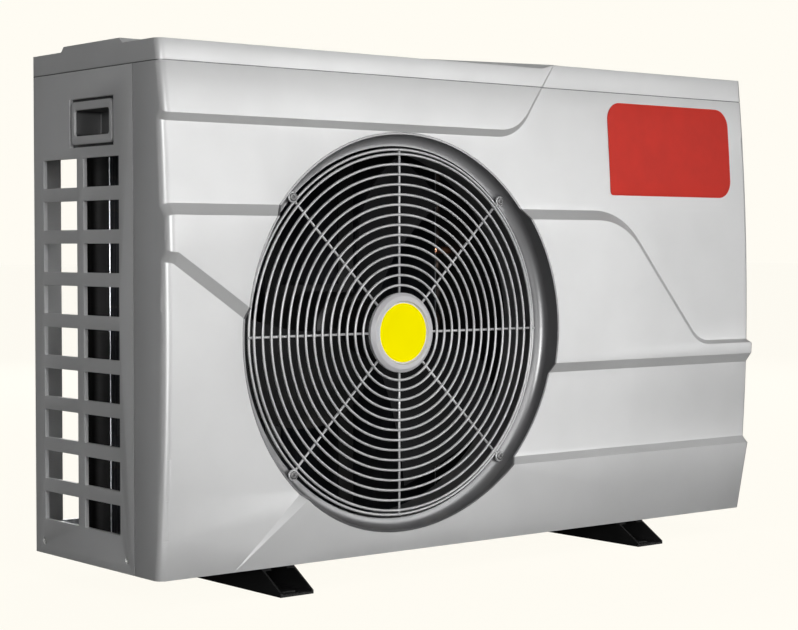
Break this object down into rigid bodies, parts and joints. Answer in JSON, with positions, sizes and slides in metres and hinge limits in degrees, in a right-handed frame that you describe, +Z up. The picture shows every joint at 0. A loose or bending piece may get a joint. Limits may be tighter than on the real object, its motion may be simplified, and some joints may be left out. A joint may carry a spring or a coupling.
{
  "type": "pool heat pump unit",
  "caption": "Flat grey air-to-water pool heat pump with a sculpted front, a wire-guarded axial fan, slotted side, twin feet, water unions and a hinged control flap.",
  "frame": {"origin": "centre of the rectangle of the four foot slots, on the ground", "axes": "+X to the right seen from the front, +Y to the back, +Z up"},
  "size_m": [1.008, 0.344, 0.628],
  "materials": {
    "shell_plastic": "light grey UV-stable ABS, fine satin texture",
    "black_plastic": "black moulded plastic, satin",
    "guard_wire": "light grey powder-coated wire",
    "cap_plastic": "grey plastic",
    "yellow_sticker": "plain yellow sticker",
    "red_badge": "plain red plate",
    "foot_paint": "black powder coat",
    "galvanised": "galvanised sheet",
    "black_wire": "black coated wire",
    "zinc_fastener": "zinc plated",
    "bare_steel": "turned steel",
    "motor_paint": "dark grey paint",
    "compressor_paint": "black paint",
    "fin_aluminium": "hydrophilic coated fins",
    "copper": "copper tube",
    "rubber": "moulded rubber",
    "exchanger_plastic": "grey PVC shell",
    "board_green": "circuit board",
    "screen_glass": "dark display window",
    "smoked_flap": "smoked splash flap"
  },
  "bodies": {
    "casing": {"front_panel": "shell_plastic", "top_cover": "shell_plastic", "left_side_panel": "shell_plastic", "right_side_panel": "shell_plastic", "handle_left": "shell_plastic", "handle_right": "shell_plastic", "controller_housing": "shell_plastic", "service_cover": "shell_plastic", "fan_shroud": "black_plastic", "cable_gland": "black_plastic", "inlet_union": "black_plastic", "outlet_union": "black_plastic", "inlet_nut": "black_plastic", "outlet_nut": "black_plastic", "drain_spout": "black_plastic", "terminal_cap": "black_plastic", "fan_grille": "guard_wire", "grille_cap": "cap_plastic", "cap_label": "yellow_sticker", "badge": "red_badge", "foot_left": "foot_paint", "foot_right": "foot_paint", "base_pan": "galvanised", "back_panel": "galvanised", "motor_bracket": "galvanised", "partition_plate": "galvanised", "coil_end_left": "galvanised", "coil_end_right": "galvanised", "control_box": "galvanised", "back_guard": "black_wire", "motor_screws": "zinc_fastener", "foot_bolts": "zinc_fastener", "grille_screws": "zinc_fastener", "case_screws": "zinc_fastener", "cover_screws": "zinc_fastener", "compressor_bolts": "zinc_fastener", "fan_motor": "motor_paint", "compressor": "compressor_paint", "accumulator": "compressor_paint", "bend_cover": "compressor_paint", "coil_fins": "fin_aluminium", "coil_bends": "copper", "discharge_pipe": "copper", "suction_pipes": "copper", "coil_gas_pipe": "copper", "exchanger_gas_pipe": "copper", "liquid_pipes": "copper", "expansion_valve": "copper", "four_way_valve": "copper", "compressor_cushions": "rubber", "heat_exchanger": "exchanger_plastic", "circuit_board": "board_green", "display_screen": "screen_glass"},
    "fan": {"fan_rotor": "black_plastic", "motor_shaft": "bare_steel", "fan_nut": "zinc_fastener"},
    "flap": {"display_flap": "smoked_flap"}
  },
  "joints": [
    {"name": "fan_spin", "type": "hinge", "parent": "casing", "child": "fan", "pos_m": [-0.108, -0.057, 0.292], "axis": [0, 1, 0], "continuous": true},
    {"name": "flap_hinge", "type": "hinge", "parent": "casing", "child": "flap", "pos_m": [0.5185, 0.025, 0.476], "axis": [0, -1, 0], "range_deg": [0, 110]}
  ]
}
